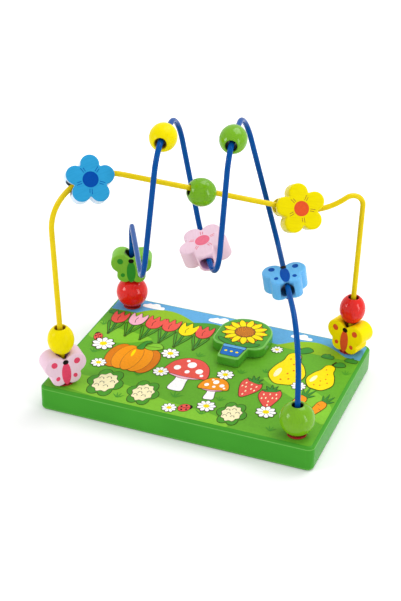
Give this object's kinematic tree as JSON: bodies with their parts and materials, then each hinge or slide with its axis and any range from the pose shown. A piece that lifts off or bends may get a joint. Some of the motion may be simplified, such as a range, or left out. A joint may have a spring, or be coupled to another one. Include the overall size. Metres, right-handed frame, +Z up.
{
  "type": "bead maze",
  "caption": "Wooden bead maze: bent coated wires stand on a printed lacquered board and carry loose turned beads, butterflies and flowers that slide along them.",
  "frame": {"origin": "middle of the board's underside", "axes": "+X along the board's long side, +Y to the back, +Z up"},
  "size_m": [0.2148, 0.1508, 0.2215],
  "materials": {
    "board_lacquer": "gloss green lacquer, printed top face",
    "block_lacquer": "gloss green lacquer, printed top face",
    "bare_wood": "bare beech",
    "yellow_coat": "gloss yellow coating on steel wire",
    "blue_coat": "gloss blue coating on steel wire",
    "collar_red": "gloss red",
    "pink_lacquer": "satin pale pink lacquer",
    "yellow_lacquer": "satin yellow lacquer",
    "red_lacquer": "gloss red lacquer",
    "leaf_lacquer": "gloss leaf-green lacquer",
    "sky_lacquer": "satin sky-blue lacquer"
  },
  "bodies": {
    "maze_frame": {"base_board": "board_lacquer", "plant_block": "block_lacquer", "block_dowel_1": "bare_wood", "block_dowel_2": "bare_wood", "yellow_wire": "yellow_coat", "blue_wire": "blue_coat", "front_left_collar": "collar_red", "back_right_collar": "collar_red", "back_left_collar": "collar_red", "front_right_collar": "collar_red"},
    "pink_butterfly": {"pink_butterfly": "pink_lacquer"},
    "yellow_leg_bead": {"yellow_leg_bead": "yellow_lacquer"},
    "blue_flower": {"blue_flower": "sky_lacquer"},
    "green_round_bead": {"green_round_bead": "leaf_lacquer"},
    "yellow_flower": {"yellow_flower": "yellow_lacquer"},
    "yellow_butterfly": {"yellow_butterfly": "yellow_lacquer"},
    "red_leg_bead": {"red_leg_bead": "red_lacquer"},
    "red_foot_bead": {"red_foot_bead": "red_lacquer"},
    "green_butterfly": {"green_butterfly": "leaf_lacquer"},
    "yellow_egg_bead": {"yellow_egg_bead": "yellow_lacquer"},
    "green_egg_bead": {"green_egg_bead": "leaf_lacquer"},
    "pink_flower": {"pink_flower": "pink_lacquer"},
    "blue_butterfly": {"blue_butterfly": "sky_lacquer"},
    "green_foot_bead": {"green_foot_bead": "leaf_lacquer"}
  },
  "joints": [
    {"name": "pink_butterfly_slide", "type": "slide", "parent": "maze_frame", "child": "pink_butterfly", "axis": [-0.0304, -0.0205, 0.9993], "range_m": [0, 0.03]},
    {"name": "yellow_leg_bead_slide", "type": "slide", "parent": "pink_butterfly", "child": "yellow_leg_bead", "axis": [-0.0304, -0.0205, 0.9993], "range_m": [0, 0.04]},
    {"name": "blue_flower_travel", "type": "hinge", "parent": "maze_frame", "child": "blue_flower", "pos_m": [-0.06182, -0.04167, 0.14559], "axis": [-0.559, 0.8292, 0], "range_deg": [-45, 20]},
    {"name": "green_round_bead_slide", "type": "slide", "parent": "maze_frame", "child": "green_round_bead", "axis": [0.7925, 0.5343, -0.2939], "range_m": [-0.026, 0.02]},
    {"name": "yellow_flower_slide", "type": "slide", "parent": "maze_frame", "child": "yellow_flower", "axis": [0.7925, 0.5343, -0.2939], "range_m": [-0.024, 0]},
    {"name": "yellow_butterfly_slide", "type": "slide", "parent": "maze_frame", "child": "yellow_butterfly", "axis": [0.0232, 0.0156, 0.9996], "range_m": [0, 0.03]},
    {"name": "red_leg_bead_slide", "type": "slide", "parent": "yellow_butterfly", "child": "red_leg_bead", "axis": [0.0232, 0.0156, 0.9996], "range_m": [0, 0.035]},
    {"name": "red_foot_bead_slide", "type": "slide", "parent": "maze_frame", "child": "red_foot_bead", "axis": [0, 0, 1], "range_m": [0, 0.008]},
    {"name": "green_butterfly_slide", "type": "slide", "parent": "red_foot_bead", "child": "green_butterfly", "axis": [0, 0, 1], "range_m": [0, 0.009]},
    {"name": "yellow_egg_bead_slide", "type": "slide", "parent": "maze_frame", "child": "yellow_egg_bead", "axis": [-0.201, 0.978, -0.0559], "range_m": [0, 0.02]},
    {"name": "green_egg_bead_slide", "type": "slide", "parent": "maze_frame", "child": "green_egg_bead", "axis": [-0.2079, 0.9776, -0.0322], "range_m": [0, 0.02]},
    {"name": "pink_flower_slide", "type": "slide", "parent": "maze_frame", "child": "pink_flower", "axis": [0.5121, -0.8506, -0.1194], "range_m": [0, 0.008]},
    {"name": "blue_butterfly_slide", "type": "slide", "parent": "maze_frame", "child": "blue_butterfly", "axis": [0.437, -0.8962, -0.0763], "range_m": [-0.018, 0.03]},
    {"name": "green_foot_bead_slide", "type": "slide", "parent": "maze_frame", "child": "green_foot_bead", "axis": [-0.0174, -0.0074, 0.9998], "range_m": [0, 0.014]}
  ]
}
